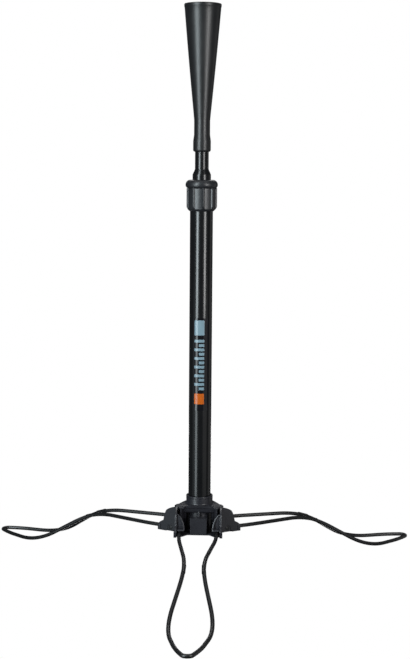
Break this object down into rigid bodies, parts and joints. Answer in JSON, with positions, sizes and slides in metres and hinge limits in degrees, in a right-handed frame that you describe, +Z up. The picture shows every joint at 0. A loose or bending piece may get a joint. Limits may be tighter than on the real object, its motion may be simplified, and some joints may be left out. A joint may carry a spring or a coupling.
{
  "type": "batting tee",
  "caption": "Portable batting tee: a flared rubber ball cup on a telescoping tube with a twist-lock nut, on a moulded hub with folding wire-loop legs.",
  "frame": {"origin": "centre of the hub's underside, on the axis of the tubes", "axes": "+Z up along the tubes, -Y along the front leg, +X to the right seen from the front leg"},
  "size_m": [0.6324, 0.5503, 0.7893],
  "materials": {
    "tube_paint": "smooth gloss black paint",
    "cup_rubber": "smooth satin moulded rubber",
    "lock_plastic": "fine-textured satin moulding",
    "hub_plastic": "fine-textured satin moulding",
    "inner_plastic": "plain satin moulding",
    "wire_coating": "satin black coating on spring wire",
    "label_print": "gloss film with plain printed bars",
    "zinc_steel": "zinc plate"
  },
  "bodies": {
    "base": {"hub": "hub_plastic", "hub_bottom_cap": "hub_plastic", "hub_screw": "zinc_steel", "hub_screw_washer": "zinc_steel", "outer_tube": "tube_paint", "outer_tube_foot_plug": "inner_plastic", "label": "label_print", "threaded_sleeve": "lock_plastic", "front_catch_left": "hub_plastic", "front_catch_right": "hub_plastic", "right_catch_left": "hub_plastic", "right_catch_right": "hub_plastic", "left_catch_left": "hub_plastic", "left_catch_right": "hub_plastic"},
    "tube_guide": {"inner_tube_guide_bush": "inner_plastic"},
    "mast": {"inner_tube": "tube_paint", "ball_cup": "cup_rubber"},
    "lock_ring": {"clamp_ring": "inner_plastic"},
    "lock_nut": {"clamp_nut": "lock_plastic"},
    "leg_front": {"front_leg": "wire_coating"},
    "leg_right": {"right_leg": "wire_coating"},
    "leg_left": {"left_leg": "wire_coating"}
  },
  "joints": [
    {"name": "height_slide", "type": "slide", "parent": "base", "child": "tube_guide", "axis": [0, 0, 1], "range_m": [0, 0.34]},
    {"name": "mast_swivel", "type": "hinge", "parent": "tube_guide", "child": "mast", "pos_m": [0, 0, 0.05], "axis": [0, 0, 1], "continuous": true},
    {"name": "clamp_ring_rise", "type": "slide", "parent": "base", "child": "lock_ring", "axis": [0, 0, 1], "range_m": [0, 0.0015]},
    {"name": "clamp_nut_turn", "type": "hinge", "parent": "lock_ring", "child": "lock_nut", "pos_m": [0, 0, 0.47], "axis": [0, 0, 1], "range_deg": [0, 180]},
    {"name": "leg_fold_front", "type": "hinge", "parent": "base", "child": "leg_front", "pos_m": [0, -0.028, 0.0051], "axis": [-1, 0, 0], "range_deg": [0, 90], "deforming": ["front_catch_left", "front_catch_right"]},
    {"name": "leg_fold_right", "type": "hinge", "parent": "base", "child": "leg_right", "pos_m": [0.02425, 0.014, 0.0051], "axis": [0.5, -0.866, 0], "range_deg": [0, 90], "deforming": ["right_catch_left", "right_catch_right"]},
    {"name": "leg_fold_left", "type": "hinge", "parent": "base", "child": "leg_left", "pos_m": [-0.02425, 0.014, 0.0051], "axis": [0.5, 0.866, 0], "range_deg": [0, 90], "deforming": ["left_catch_left", "left_catch_right"]}
  ],
  "couplings": [
    {"joint": "clamp_nut_turn", "follows": "clamp_ring_rise", "rad_per_m": 2094.4}
  ]
}
